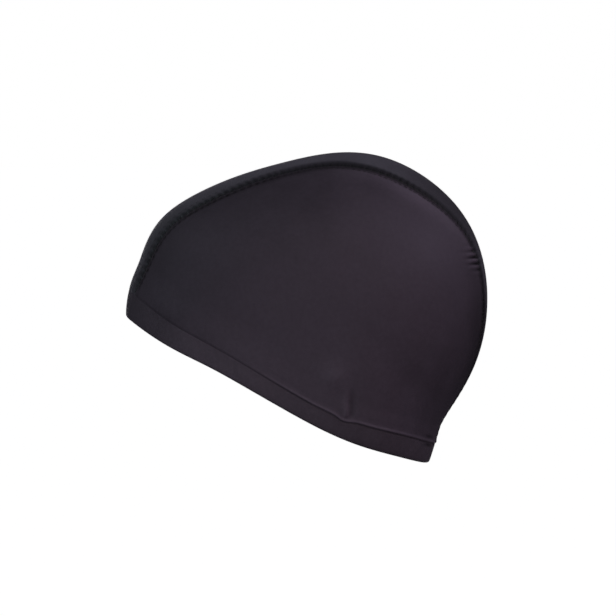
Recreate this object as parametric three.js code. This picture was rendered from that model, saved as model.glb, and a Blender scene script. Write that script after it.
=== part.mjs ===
// A swim cap of stretch fabric: two side panels, a centre strip from forehead to nape and a turned
// hem round the opening, in the form that it has when a head fills it. Millimetres.
// +X points to the back of the head, +Z up, -Y to the wearer's left. The origin is the middle of
// the opening, halfway between the rim's points at the forehead and at the nape.
import * as THREE from "three";
import { mergeVertices } from "three/addons/utils/BufferGeometryUtils.js";

// The form, measured from the widest place, which is over the ears.
const halfLength = 97; // towards the forehead and towards the back of the head
const crownHeight = 79; // up to the crown
const halfWidth = 76; // out to each side
const foreheadTurn = 186.1; // degrees from the back, up over the crown, to the rim at the forehead
const napeTurn = -63.4; // the same to the rim at the nape

// The fabric.
const panelWall = 1.2; // side panels and strip
const hemWall = 2.2; // fabric turned over and stitched through
const seamGap = 0.35; // between neighbouring pieces
const grooveDepth = 0.8; // the seamed edges sink this far, so that the seam lies in a groove
const grooveReach = 4.5; // and start to sink this far from the seam

// The centre strip and the hem.
const stripWidth = 72; // across the strip at about its widest
const hemHeight = 16; // at the forehead
const hemLift = 1.0; // the hem's face stands this far outside the panels
const rimDip = 8; // how far the rim can hang below a straight line from forehead to nape

// The tuck above the hem behind each ear, with the swell that it pulls up in front of it.
const tuckPlace = 0.68; // share of the way along the rim from forehead to nape
const tuckLength = 14;
const tuckWidth = 4.5; // from the crest of its ridge to the bottom of its valley
const tuckDepth = 0.9;
const tuckSag = 1.5; // it pulls the hem's upper edge down by this much
const swellHeight = 0.8;
const swellSpread = 8;
const swellRise = 22; // its middle lies this far above the hem
const swellAhead = 5; // and this far in front of the tuck

// Fineness of the faceted surfaces.
const stationCount = 40; // from forehead to nape
const panelRows = 16; // from hem to seam, with two more in the groove
const rowCrowding = 1.25; // more than 1 crowds the rows towards the hem
const stripRowsEachSide = 3;

// The outline seen from the side, a row every 15 degrees: reach is a share of the half length and
// crown height, and fullness the power of the curve that leads round to the side, 2 for an ellipse.
// The rows from 210 to 285 lie below the rim and only keep the sides nearly upright there.
const formRows = [
  { turn: 0, reach: 0.88, fullness: 2.25 },
  { turn: 15, reach: 0.897, fullness: 2.2 },
  { turn: 30, reach: 0.933, fullness: 2.15 },
  { turn: 45, reach: 0.969, fullness: 2.06 },
  { turn: 60, reach: 1.005, fullness: 2 },
  { turn: 75, reach: 1.026, fullness: 2.02 },
  { turn: 90, reach: 0.994, fullness: 2.18 },
  { turn: 105, reach: 0.951, fullness: 2.34 },
  { turn: 120, reach: 0.965, fullness: 2.34 },
  { turn: 135, reach: 1.017, fullness: 2.24 },
  { turn: 150, reach: 1.084, fullness: 2.18 },
  { turn: 165, reach: 1.062, fullness: 2.22 },
  { turn: 180, reach: 1.089, fullness: 2.3 },
  { turn: 195, reach: 1.13, fullness: 2.3 },
  { turn: 210, reach: 1.21, fullness: 2.3 },
  { turn: 225, reach: 1.36, fullness: 2.3 },
  { turn: 240, reach: 1.5, fullness: 2.3 },
  { turn: 255, reach: 1.66, fullness: 2.3 },
  { turn: 270, reach: 1.82, fullness: 2.3 },
  { turn: 285, reach: 1.58, fullness: 2.3 },
  { turn: 300, reach: 1.091, fullness: 2.25 },
  { turn: 315, reach: 0.985, fullness: 2.25 },
  { turn: 330, reach: 0.928, fullness: 2.25 },
  { turn: 345, reach: 0.896, fullness: 2.25 },
];

// The rim and the hem's upper edge, in even steps from forehead to nape: dip is a share of the
// rim dip, height a share of the hem height.
const rimRows = [
  { dip: 0, height: 1.0 },
  { dip: 0.4, height: 0.87 },
  { dip: 0.27, height: 0.78 },
  { dip: 0.46, height: 0.76 },
  { dip: 0.67, height: 0.72 },
  { dip: 0.84, height: 0.69 },
  { dip: 0.74, height: 0.78 },
  { dip: 0.26, height: 0.82 },
  { dip: 0, height: 0.76 },
];

// The strip's width in even steps from forehead to nape, as a share of the strip width.
const stripRows = [
  { width: 0.56 },
  { width: 0.68 },
  { width: 0.88 },
  { width: 0.85 },
  { width: 0.87 },
  { width: 1.02 },
  { width: 0.99 },
  { width: 0.87 },
  { width: 0.88 },
  { width: 0.8 },
  { width: 0.66 },
  { width: 0.52 },
];

// The hem cut across: up is a share of its height, out a share of its wall from the inner face.
// The first half runs up the outer face, the second down the inner one.
const hemSection = [
  { up: 0, out: 0.2 },
  { up: 0.02, out: 0.65 },
  { up: 0.09, out: 0.93 },
  { up: 0.3, out: 1 },
  { up: 0.7, out: 1 },
  { up: 0.91, out: 0.93 },
  { up: 0.98, out: 0.65 },
  { up: 1, out: 0.2 },
  { up: 0.97, out: 0 },
  { up: 0.5, out: 0 },
  { up: 0.03, out: 0 },
];

const mix = (a, b, share) => a + (b - a) * share;
const radians = THREE.MathUtils.degToRad;

// Cubic B-spline weights of the four rows round a place that lies `f` past the second of them.
function splineWeights(f) {
  const second = 3 * f ** 3 - 6 * f ** 2 + 4;
  const third = -3 * f ** 3 + 3 * f ** 2 + 3 * f + 1;
  return [(1 - f) ** 3, second, third, f ** 3].map((weight) => weight / 6);
}

// A smooth value from rows that close on themselves, at a turn in degrees.
function roundSpline(rows, column, turn) {
  const place = (THREE.MathUtils.euclideanModulo(turn, 360) * rows.length) / 360;
  const first = Math.floor(place);
  return splineWeights(place - first).reduce(
    (sum, weight, k) => sum + weight * rows[(first + k - 1 + rows.length) % rows.length][column], 0);
}

// A smooth value from rows in even steps, at a share of the way along; it meets both end rows.
function openSpline(rows, column, share) {
  const last = rows.length - 1;
  const value = (i) => {
    if (i < 0) return 2 * rows[0][column] - rows[1][column];
    if (i > last) return 2 * rows[last][column] - rows[last - 1][column];
    return rows[i][column];
  };
  const place = THREE.MathUtils.clamp(share, 0, 1) * last;
  const first = Math.min(Math.floor(place), last - 1);
  return splineWeights(place - first).reduce((sum, weight, k) => sum + weight * value(first + k - 1), 0);
}

// Side-view place as a turn in degrees and a depth: 0 at the widest place, 1 on the outline.
function turnAndDepth(x, z) {
  const a = x / halfLength;
  const b = z / crownHeight;
  const turn = THREE.MathUtils.radToDeg(Math.atan2(b, a));
  return { turn, depth: Math.hypot(a, b) / roundSpline(formRows, "reach", turn) };
}

// Point of the form at a turn, y to the side of the middle.
function formPoint(turn, y) {
  const n = roundSpline(formRows, "fullness", turn);
  const depth = Math.max(0, 1 - (Math.abs(y) / halfWidth) ** n) ** (1 / n);
  const reach = depth * roundSpline(formRows, "reach", turn);
  const a = radians(turn);
  return new THREE.Vector3(halfLength * reach * Math.cos(a), y, crownHeight * reach * Math.sin(a));
}

// How far out to the side the form lies at a side-view place.
function sideReach(x, z) {
  const { turn, depth } = turnAndDepth(x, z);
  const n = roundSpline(formRows, "fullness", turn);
  return halfWidth * Math.max(0, 1 - Math.min(depth, 1) ** n) ** (1 / n);
}

// 1 on the form, less inside it and more outside.
function formValue(p) {
  const { turn, depth } = turnAndDepth(p.x, p.z);
  const n = roundSpline(formRows, "fullness", turn);
  return ((Math.abs(p.y) / halfWidth) ** n + depth ** n) ** (1 / n);
}

// The direction straight out of the form, from the slope of the form value.
function outward(p) {
  const step = 0.05;
  const slope = ["x", "y", "z"].map((axis) => {
    const ahead = p.clone();
    const behind = p.clone();
    ahead[axis] += step;
    behind[axis] -= step;
    return formValue(ahead) - formValue(behind);
  });
  return new THREE.Vector3(...slope).normalize();
}

const lifted = (p, height) => p.clone().addScaledVector(outward(p), height);

// The turn that lies a distance along the outline from another turn; way is 1 or -1.
function turnAfter(start, way, distance) {
  const step = 0.1;
  let turn = start;
  let here = formPoint(turn, 0);
  let left = distance;
  while (left > 0) {
    const next = formPoint(turn + way * step, 0);
    const length = here.distanceTo(next);
    turn += way * step * Math.min(1, left / length);
    left -= length;
    here = next;
  }
  return turn;
}

const rimFront = formPoint(foreheadTurn, 0);
const rimBack = formPoint(napeTurn, 0);
const rimChord = rimBack.clone().sub(rimFront).normalize();
const rimUp = new THREE.Vector3(-rimChord.z, 0, rimChord.x);
const foreheadHem = rimRows[0].height * hemHeight;
const napeHem = rimRows[rimRows.length - 1].height * hemHeight;

// The ends, on the outline, of the line at a rise (0 the rim, 1 the hem's upper edge) plus a
// clearance above it.
function lineEnds(rise, clearance) {
  return {
    front: formPoint(turnAfter(foreheadTurn, -1, rise * foreheadHem + clearance), 0),
    back: formPoint(turnAfter(napeTurn, 1, rise * napeHem + clearance), 0),
  };
}

// Share of the way from forehead to nape at an angle round the opening: 0 the forehead, pi the nape.
const wayAlong = (angle) => (1 - Math.cos(angle)) / 2;

// Side-view point at an angle round the opening, on the line with these ends and this rise.
function linePoint(ends, rise, angle) {
  const along = wayAlong(angle);
  const height = hemHeight * openSpline(rimRows, "height", along) - mix(foreheadHem, napeHem, along);
  const fromTuck = ((along - tuckPlace) * rimFront.distanceTo(rimBack)) / tuckWidth;
  const sag = tuckSag * Math.exp(-fromTuck * fromTuck);
  const dip = rimDip * openSpline(rimRows, "dip", along);
  return ends.front.clone().lerp(ends.back, along).addScaledVector(rimUp, rise * (height - sag) - dip);
}

const onForm = (q, side) => new THREE.Vector3(q.x, side * sideReach(q.x, q.z), q.z);

// The angle round the opening where a line comes y away from the middle, near the forehead or nape.
function angleAt(ends, rise, y, nape) {
  const farthest = 1.3;
  let low = 0;
  let high = farthest;
  for (let k = 0; k < 40; k += 1) {
    const angle = (low + high) / 2;
    const q = linePoint(ends, rise, nape ? Math.PI - angle : angle);
    if (sideReach(q.x, q.z) < y) low = angle;
    else high = angle;
  }
  return nape ? Math.PI - low : low;
}

// Stations, as shares of the way from forehead to nape, closer together at the tuck.
function spacedStations(tuckStation) {
  const fine = 400;
  const closeness = 1.6;
  const spread = 0.05;
  const sums = [0];
  for (let k = 1; k <= fine; k += 1) {
    const away = (k / fine - tuckStation) / spread;
    sums.push(sums[k - 1] + 1 + closeness * Math.exp(-away * away));
  }
  return Array.from({ length: stationCount + 1 }, (_, i) => {
    const wanted = (sums[fine] * i) / stationCount;
    const k = Math.min(fine, Math.max(1, sums.findIndex((sum) => sum >= wanted)));
    return (k - 1 + (wanted - sums[k - 1]) / (sums[k] - sums[k - 1])) / fine;
  });
}

// The lower ends of panels and strip lie on this line, clear of the hem.
const panelEnds = lineEnds(1, seamGap);
const halfStrip = (station) => (stripWidth / 2) * openSpline(stripRows, "width", station);
const panelEdge = (station) => halfStrip(station) + seamGap / 2;
const stripEdge = (station) => halfStrip(station) - seamGap / 2;
const foreheadAngle = angleAt(panelEnds, 1, panelEdge(0), false);
const napeAngle = angleAt(panelEnds, 1, panelEdge(1), true);
const angleOf = (station) => mix(foreheadAngle, napeAngle, station);
const tuckAngle = Math.acos(1 - 2 * tuckPlace);
const stations = spacedStations((tuckAngle - foreheadAngle) / (napeAngle - foreheadAngle));

// The turn at a station for a path that starts y0 and ends y1 to the side, on the panels' lower line.
function turnAlong(station, y0, y1) {
  const front = linePoint(panelEnds, 1, angleAt(panelEnds, 1, y0, false));
  const back = linePoint(panelEnds, 1, angleAt(panelEnds, 1, y1, true));
  const start = THREE.MathUtils.euclideanModulo(turnAndDepth(front.x, front.z).turn, 360);
  return mix(start, turnAndDepth(back.x, back.z).turn, station);
}

const widestGroove = 0.5; // share of a short column that its groove may take

// How far the face has sunk at a distance from the seam: all of the depth there, none past the reach.
function grooveAt(distance) {
  const t = THREE.MathUtils.clamp(1 - distance / grooveReach, 0, 1);
  return -grooveDepth * t * t;
}

// Height of the tuck and of the swell in front of it, at a side-view place.
const tuckFoot = linePoint(panelEnds, 1, tuckAngle);
function tuckHeight(q) {
  const across = q.x - tuckFoot.x;
  const up = q.z - tuckFoot.z;
  const a = across / (tuckWidth / 2);
  const fold = a * Math.exp((1 - a * a) / 2);
  const height = Math.max(0, up) / tuckLength;
  const start = 0.15; // share of its length over which it rises out of the hem
  const fade = (1 - Math.exp(-((height / start) ** 2))) * Math.exp(-(height ** 4));
  const swell = Math.hypot(across + swellAhead, up - swellRise) / swellSpread;
  return -tuckDepth * fold * fade + swellHeight * Math.exp(-swell * swell);
}

// A closed solid through closed loops of points. Loops that run down an outer face and back along
// an inner one are capped between their halves; a ring has no caps.
function skin(loops, ring) {
  const size = loops[0].length;
  const positions = loops.flatMap((loop) => loop.flatMap((p) => [p.x, p.y, p.z]));
  const index = [];
  const quad = (a, b, c, d) => index.push(a, b, c, a, c, d);
  const lastLoop = ring ? loops.length : loops.length - 1;
  for (let i = 0; i < lastLoop; i += 1) {
    const here = i * size;
    const next = ((i + 1) % loops.length) * size;
    for (let j = 0; j < size; j += 1) {
      const k = (j + 1) % size;
      quad(here + j, next + j, next + k, here + k);
    }
  }
  if (!ring) {
    const end = (loops.length - 1) * size;
    for (let j = 0; j < size / 2 - 1; j += 1) {
      const k = size - 1 - j;
      quad(j, j + 1, k - 1, k);
      quad(end + k, end + k - 1, end + j + 1, end + j);
    }
  }
  const geometry = new THREE.BufferGeometry();
  geometry.setAttribute("position", new THREE.Float32BufferAttribute(positions, 3));
  geometry.setIndex(index);
  return withoutSlivers(mergeVertices(geometry, 1e-4));
}

// Faces whose corners were merged are dropped, as at the pointed ends of a panel.
function withoutSlivers(geometry) {
  const index = geometry.getIndex().array;
  const kept = [];
  for (let i = 0; i < index.length; i += 3) {
    const [a, b, c] = index.slice(i, i + 3);
    if (a !== b && b !== c && c !== a) kept.push(a, b, c);
  }
  geometry.setIndex(kept);
  geometry.computeVertexNormals();
  return geometry;
}

const wallLoop = (outer, wall) => [...outer, ...outer.map((p) => lifted(p, -wall)).reverse()];

// One column of a side panel, from the hem to the seam: the side view is followed in a bow, and
// the last rows sink into the groove.
function panelColumn(station, side) {
  const low = linePoint(panelEnds, 1, angleOf(station));
  const high = formPoint(turnAlong(station, panelEdge(0), panelEdge(1)), panelEdge(station));
  const length = Math.max(onForm(low, 1).distanceTo(high), 1e-6);
  const grooveShare = Math.min(widestGroove, grooveReach / length);
  const even = Array.from({ length: panelRows + 1 }, (_, j) => (j / panelRows) ** rowCrowding);
  const rows = [...even.map((row) => row * (1 - grooveShare)), 1 - grooveShare / 2, 1];
  const bow = radians(70);
  return rows.map((row) => {
    const q = low.clone().lerp(high, Math.sin(row * bow) / Math.sin(bow));
    const p = row === 1 ? new THREE.Vector3(high.x, side * high.y, high.z) : onForm(q, side);
    return lifted(p, tuckHeight(q) + grooveAt((1 - row) * length));
  });
}

function sidePanel(side) {
  const columns = stations.map((station) => wallLoop(panelColumn(station, side), panelWall));
  return skin(side < 0 ? columns : columns.map((loop) => [...loop].reverse()), false);
}

// One cross-section of the strip, from one seam to the other.
function stripCut(station) {
  const half = stripEdge(station);
  const groove = Math.min(widestGroove, grooveReach / half);
  const even = Array.from({ length: stripRowsEachSide + 1 }, (_, j) => j / stripRowsEachSide);
  const shares = [...even.map((share) => share * (1 - groove)), 1 - groove / 2, 1];
  const across = [...shares.slice(1).reverse().map((share) => -share), ...shares];
  return across.map((share) => {
    const reach = Math.abs(share);
    const turn = turnAlong(station, reach * stripEdge(0), reach * stripEdge(1));
    return lifted(formPoint(turn, share * half), grooveAt((1 - reach) * half));
  });
}

const crownStrip = () => skin(stations.map((station) => wallLoop(stripCut(station), panelWall)), false);

// The hem follows the stations of the panels, and a few more across each end of the strip.
function hemAngles() {
  const shares = Array.from({ length: stripRowsEachSide + 1 }, (_, j) => j / (stripRowsEachSide + 1));
  const front = shares.map((share) => angleAt(panelEnds, 1, share * panelEdge(0), false));
  const back = shares.map((share) => angleAt(panelEnds, 1, share * panelEdge(1), true)).reverse();
  return [...front, ...stations.map(angleOf), ...back];
}

function hemBand() {
  const rises = hemSection.map((row) => ({ ...row, ends: lineEnds(row.up, 0) }));
  const cut = (angle, side) => rises.map(({ up, out, ends }) => {
    const p = onForm(linePoint(ends, up, angle), side);
    return lifted(p, hemLift - hemWall * (1 - out));
  });
  const angles = hemAngles();
  const left = angles.map((angle) => cut(angle, -1));
  const right = angles.slice(1, -1).reverse().map((angle) => cut(angle, 1));
  return skin([...left, ...right], true);
}

const blackFabric = (color) => new THREE.MeshStandardMaterial({ color, roughness: 0.8, metalness: 0 });

function piece(name, geometry, color) {
  const mesh = new THREE.Mesh(geometry, blackFabric(color));
  mesh.name = name;
  return mesh;
}

const swimCap = new THREE.Group();
swimCap.add(
  piece("left_panel", sidePanel(-1), 0x2c2a31),
  piece("right_panel", sidePanel(1), 0x2c2a31),
  piece("crown_strip", crownStrip(), 0x34323a),
  piece("hem_band", hemBand(), 0x2e2930),
);
const openingMiddle = rimFront.clone().add(rimBack).multiplyScalar(0.5);
swimCap.position.copy(openingMiddle).negate();

export default swimCap;
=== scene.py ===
# Swim cap of black stretch knit, as it is when a head fills it. Metres, +X to the back of the
# head, +Z up, -Y to the wearer's left.
import bpy
import numpy as np
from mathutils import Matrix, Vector


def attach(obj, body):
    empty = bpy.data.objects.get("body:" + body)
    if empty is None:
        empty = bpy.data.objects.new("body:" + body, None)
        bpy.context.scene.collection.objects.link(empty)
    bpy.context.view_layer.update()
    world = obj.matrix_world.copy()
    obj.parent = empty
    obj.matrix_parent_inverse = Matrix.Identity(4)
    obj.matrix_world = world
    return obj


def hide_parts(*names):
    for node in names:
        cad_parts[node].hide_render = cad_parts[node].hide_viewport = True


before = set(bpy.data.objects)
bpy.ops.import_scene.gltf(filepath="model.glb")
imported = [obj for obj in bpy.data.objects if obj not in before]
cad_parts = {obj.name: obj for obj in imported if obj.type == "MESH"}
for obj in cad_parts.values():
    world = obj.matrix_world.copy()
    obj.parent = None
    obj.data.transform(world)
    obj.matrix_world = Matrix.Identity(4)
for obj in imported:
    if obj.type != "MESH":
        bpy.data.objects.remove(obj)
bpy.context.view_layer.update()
mm = 0.001
print("frame loaded:", ", ".join(sorted(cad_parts)))

# The form that all pieces lie on, measured from its widest place, over the ears.
capForm = {
    "halfLength": 97 * mm,
    "crownHeight": 79 * mm,
    "halfWidth": 76 * mm,
    "foreheadTurn": 186.1,  # degrees from the back, over the crown, to the rim at the forehead
    "napeTurn": -63.4,  # the same to the rim at the nape
    # a value every 15 degrees: share of half length and crown height, and fullness of the sides
    "reach": np.array([.88, .897, .933, .969, 1.005, 1.026, .994, .951, .965, 1.017, 1.084, 1.062,
                       1.089, 1.13, 1.21, 1.36, 1.5, 1.66, 1.82, 1.58, 1.091, .985, .928, .896]),
    "fullness": np.array([2.25, 2.2, 2.15, 2.06, 2, 2.02, 2.18, 2.34, 2.34, 2.24, 2.18, 2.22,
                          2.3, 2.3, 2.3, 2.3, 2.3, 2.3, 2.3, 2.3, 2.25, 2.25, 2.25, 2.25]),
}

# The rim and the hem's upper edge, in even steps from forehead to nape.
rimLine = {
    "dip": 8 * mm,
    "dips": np.array([0, .4, .27, .46, .67, .84, .74, .26, 0]),
    "hemHeight": 16 * mm,
    "heights": np.array([1, .87, .78, .76, .72, .69, .78, .82, .76]),
}

# The seams between the strip and the side panels, in even steps from forehead to nape.
seams = {
    "stripWidth": 72 * mm,
    "widths": np.array([.56, .68, .88, .85, .87, 1.02, .99, .87, .88, .8, .66, .52]),
    "gap": 0.06 * mm,
    "endClearance": 0.35 * mm,  # the seam's share of the way is counted from here above the hem
    "grooveDepth": 0.6 * mm,
    "grooveReach": 5 * mm,
    "creaseDepth": 0.55 * mm,  # the sharper fold at the very seam
    "creaseReach": 2.4 * mm,
    "gatherHeight": 0.16 * mm,
    "gatherPitch": 3.8 * mm,
    "gatherReach": 3.6 * mm,
    "gatherPlace": 1.6 * mm,  # they are highest this far from the seam
    "gatheredTo": 95 * mm,  # from the forehead
    "gatherFade": 12 * mm,
    "leastByHem": 0.35,  # what is left of the groove where it meets the hem
    "hemFade": 5 * mm,
    # painted shade in ovals along the gathers towards the forehead, and in a dashed line at the sunk
    # stitches
    "ovalShade": 0.45,
    "dashWidth": 0.8 * mm,
    # the band of painted shade in even steps from forehead to nape: how far it reaches on panel and strip,
    # how dark
    "panelBand": np.array([1.5, 1.5, 2.2, 2.8, 2.6, 1.9, 2.0, 2.5, 2.1, 2.0, 2.0, 2.0]) * mm,
    "stripBand": np.array([1.4, 1.6, 1.1, 1.5, 2.6, 2.4, 2.2, 1.7, 1.1, 1.2, 1.4, 1.4]) * mm,
    "bandShade": np.array([.75, .76, .92, .95, .98, 1.0, 1.14, .92, .68, .6, .6, .6]),
    # painted shade: the side panel is darker beside the seam at the back of the head
    "backShade": 1.2,
    "backMiddle": 285 * mm,
    "backSpread": 38 * mm,
    "backReach": 9 * mm,
    # painted highlight standing in for a roll of the side panel below the seam, where the back of the
    # crown turns down
    "rolledHighlight": -1.1,
    "rolledFrom": 5.5 * mm,
    "rolledReach": 7.5 * mm,
    "rolledMiddle": 179 * mm,
    "rolledSpread": 42 * mm,
}


def splineWeights(f):
    second = (3 * f ** 3 - 6 * f ** 2 + 4) / 6
    third = (-3 * f ** 3 + 3 * f ** 2 + 3 * f + 1) / 6
    return (1 - f) ** 3 / 6, second, third, f ** 3 / 6


# Cubic B-spline through values that close on themselves, at a turn in degrees.
def roundSpline(values, turn):
    place = np.mod(turn, 360) * len(values) / 360
    first = np.floor(place).astype(int)
    weights = splineWeights(place - first)
    return sum(weights[k] * values[(first + k - 1) % len(values)] for k in range(4))


# Cubic B-spline through values in even steps, at a share of the way; it meets both end values.
def openSpline(values, share):
    padded = np.concatenate([[2 * values[0] - values[1]], values, [2 * values[-1] - values[-2]]])
    place = np.clip(share, 0, 1) * (len(values) - 1)
    first = np.minimum(np.floor(place).astype(int), len(values) - 2)
    weights = splineWeights(place - first)
    return sum(weights[k] * padded[first + k] for k in range(4))


# Point of the form: the outline's point at the turn, drawn in by (1 - |y/W|^n)^(1/n), y to the side.
def formPoint(turn, y):
    n = roundSpline(capForm["fullness"], turn)
    depth = np.clip(1 - np.abs(y / capForm["halfWidth"]) ** n, 0, None) ** (1 / n)
    reach = depth * roundSpline(capForm["reach"], turn)
    a = np.radians(turn)
    x = capForm["halfLength"] * reach * np.cos(a)
    z = capForm["crownHeight"] * reach * np.sin(a)
    return np.stack(np.broadcast_arrays(x, y, z), -1)


# A side-view place as a turn in degrees and a depth, 0 at the widest place and 1 on the outline.
def turnAndDepth(x, z):
    a = x / capForm["halfLength"]
    b = z / capForm["crownHeight"]
    turn = np.degrees(np.arctan2(b, a))
    return turn, np.hypot(a, b) / roundSpline(capForm["reach"], turn)


# How far out to the side the form lies there: W (1 - depth^n)^(1/n).
def sideReach(x, z):
    turn, depth = turnAndDepth(x, z)
    n = roundSpline(capForm["fullness"], turn)
    return capForm["halfWidth"] * np.clip(1 - np.clip(depth, 0, 1) ** n, 0, None) ** (1 / n)


def onForm(x, z, side):
    return np.stack([x, side * sideReach(x, z), z], -1)


# (|y/W|^n + depth^n)^(1/n): 1 on the form, less inside it and more outside.
def formValue(p):
    turn, depth = turnAndDepth(p[..., 0], p[..., 2])
    n = roundSpline(capForm["fullness"], turn)
    return (np.abs(p[..., 1] / capForm["halfWidth"]) ** n + depth ** n) ** (1 / n)


def unit(v):
    return v / np.linalg.norm(v, axis=-1, keepdims=True)


# Straight out of the form: the slope of the form value, scaled to length 1.
def outward(p):
    steps = np.eye(3) * 0.05 * mm
    return unit(np.stack([formValue(p + step) - formValue(p - step) for step in steps], -1))


def lifted(p, height):
    return p + outward(p) * np.asarray(height)[..., None]


# Running length along a line of points.
def runningLength(p):
    return np.concatenate([[0], np.cumsum(np.linalg.norm(np.diff(p, axis=0), axis=1))])


# The turn at a distance along the outline from another turn; way is 1 or -1.
def turnAfter(start, way, distance):
    turns = start + way * np.linspace(0, 40, 1601)
    return np.interp(distance, runningLength(formPoint(turns, 0.0)), turns)


# Shares of the way from 0 to 1, closer together where the density is higher.
def spacedShares(count, density):
    fine = np.linspace(0, 1, 4001)
    sums = np.concatenate([[0], np.cumsum((density(fine[1:]) + density(fine[:-1])) / 2)])
    return np.interp(np.linspace(0, sums[-1], count), sums, fine)


def bell(x, width):
    return np.exp(-(x / width) ** 2)


rimFront = formPoint(capForm["foreheadTurn"], 0.0)
rimBack = formPoint(capForm["napeTurn"], 0.0)
rimSpan = np.linalg.norm(rimBack - rimFront)
rimChord = (rimBack - rimFront) / rimSpan
rimUp = np.array([-rimChord[2], 0, rimChord[0]])
openingMiddle = (rimFront + rimBack) / 2  # the origin of the part, seen from the widest place
foreheadHem = rimLine["hemHeight"] * rimLine["heights"][0]
napeHem = rimLine["hemHeight"] * rimLine["heights"][-1]

# The tuck above the hem behind each ear, with the swell that it pulls up in front of it.
tuck = {
    "place": 0.68,  # share of the way along the rim from forehead to nape
    "length": 14 * mm,
    "width": 2.8 * mm,
    "behind": 2.2 * mm,
    "depth": 0.5 * mm,
    "sag": 1.5 * mm,
    "sagWidth": 4.5 * mm,
    "swellHeight": 0.9 * mm,
    "swellSpread": 6.5 * mm,
    "swellRise": 22 * mm,
    "swellAhead": 5 * mm,
    # painted shade and light of the tuck's fold, a painted highlight on the swell and a faint wide painted
    # glow
    "lightAndShade": 0.45,
    "swellHighlight": -0.34,
    "glowLight": -0.2,
    "glowSpread": 42 * mm,
}


# Share of the way along the rim at an angle round the opening, and back.
def rimShare(angle):
    return (1 - np.cos(angle)) / 2


def rimAngle(share):
    return np.arccos(1 - 2 * share)


def hemHeightAt(along):
    return rimLine["hemHeight"] * openSpline(rimLine["heights"], along)


# Side-view place (x, z) at an angle round the opening, 0 at the forehead and pi at the nape, at a
# rise (0 the rim, 1 the hem's upper edge) plus a clearance: the chord between the line's own ends,
# less the rim's dip and the tuck's sag.
def linePlace(rise, clearance, angle):
    along = rimShare(angle)
    front = formPoint(turnAfter(capForm["foreheadTurn"], -1, rise * foreheadHem + clearance), 0.0)
    back = formPoint(turnAfter(capForm["napeTurn"], 1, rise * napeHem + clearance), 0.0)
    height = hemHeightAt(along) - (foreheadHem + (napeHem - foreheadHem) * along)
    away = (along - tuck["place"]) * rimSpan
    sag = tuck["sag"] * bell(away, tuck["sagWidth"])
    off = rise * (height - sag) - rimLine["dip"] * openSpline(rimLine["dips"], along)
    x = front[..., 0] + (back - front)[..., 0] * along + off * rimUp[0]
    z = front[..., 2] + (back - front)[..., 2] * along + off * rimUp[2]
    return x, z


# The angle at which that line comes y away from the middle, by halving, near forehead or nape.
def angleAt(clearance, y, nape):
    low = np.zeros(np.shape(y))
    high = np.full(np.shape(y), 1.3)
    for _ in range(44):
        middle = (low + high) / 2
        near = sideReach(*linePlace(1.0, clearance, np.pi - middle if nape else middle)) < y
        low = np.where(near, middle, low)
        high = np.where(near, high, middle)
    return np.pi - low if nape else low


def halfStrip(station):
    return seams["stripWidth"] / 2 * openSpline(seams["widths"], station)


# Turns at the two ends of a line that stays y0 from the middle at the forehead, y1 at the nape.
def endTurns(clearance, y0, y1):
    first = turnAndDepth(*linePlace(1.0, clearance, angleAt(clearance, y0, False)))[0] % 360
    last = turnAndDepth(*linePlace(1.0, clearance, angleAt(clearance, y1, True)))[0]
    return first, last


seamStart, seamEnd = endTurns(seams["endClearance"], halfStrip(0.0), halfStrip(1.0))


# Half the strip's width at a turn along the seam.
def halfStripAt(turn):
    return halfStrip((turn - seamStart) / (seamEnd - seamStart))


# The groove along a seam at a distance d from it: depth (1 - d/reach)^2, for the wide and the sharp part.
def grooveHeight(d):
    wide = np.clip(1 - d / seams["grooveReach"], 0, 1)
    sharp = np.clip(1 - d / seams["creaseReach"], 0, 1)
    return -seams["grooveDepth"] * wide ** 2 - seams["creaseDepth"] * sharp ** 2


# The turn of the gathers' cosine at a length along a seam, with a pitch that sways a little.
def gatherPhase(along):
    return 2 * np.pi * along / seams["gatherPitch"] + 1.3 * np.sin(along / (9 * mm))


# Small gathers across a seam: a cosine along it that fades away from it, uneven along the way.
def gatherHeight(along, d):
    uneven = 0.65 + 0.35 * np.sin(along / (11 * mm) + 2 * np.sin(along / (31 * mm)))
    near = bell(d - seams["gatherPlace"], seams["gatherReach"])
    return seams["gatherHeight"] * uneven * near * np.cos(gatherPhase(along))


# Deeper puckers across each seam at the back, level with one another.
backPuckers = {
    "trough": 20.5 * mm,
    "pitch": 3.35 * mm,
    "middle": 22.4 * mm,
    "spread": 5.2 * mm,
    "depth": 0.85 * mm,
    "reach": 7.5 * mm,
    "ahead": 6 * mm,
    # painted shade in the puckers' troughs and painted light on their ridges
    "lightAndShade": 1.35,
    "onStrip": 0.5,  # how much weaker they are on the strip
}


# From -1 on a ridge to 1 in a trough, less further away: a cosine with its troughs made narrower.
def backPuckerShare(x, z, d):
    wave = np.cos(2 * np.pi * (z - backPuckers["trough"]) / backPuckers["pitch"])
    wave = wave + 0.3 * (wave ** 2 - 0.5)
    near = bell(d - backPuckers["ahead"], backPuckers["reach"])
    near = near * bell(z - backPuckers["middle"], backPuckers["spread"])
    return np.where(x > 0, wave * near, 0)


tuckFoot = linePlace(1.0, seams["endClearance"], rimAngle(tuck["place"]))


# The tuck is a ridge in front of a valley, a exp((1 - a^2)/2) across it, that fades upwards.
def tuckFold(x, z):
    a = (x - tuckFoot[0] - tuck["behind"]) / (tuck["width"] / 2)
    height = np.clip(z - tuckFoot[1], 0, None) / tuck["length"]
    return a * np.exp((1 - a * a) / 2) * (1 - bell(height, 0.1)) * np.exp(-height ** 4)


# Height of the tuck and of the swell in front of it, a bell.
def tuckHeight(x, z):
    across = x - tuckFoot[0]
    up = z - tuckFoot[1]
    swell = bell(np.hypot(across + tuck["swellAhead"], up - tuck["swellRise"]), tuck["swellSpread"])
    return -tuck["depth"] * tuckFold(x, z) + tuck["swellHeight"] * swell


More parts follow.
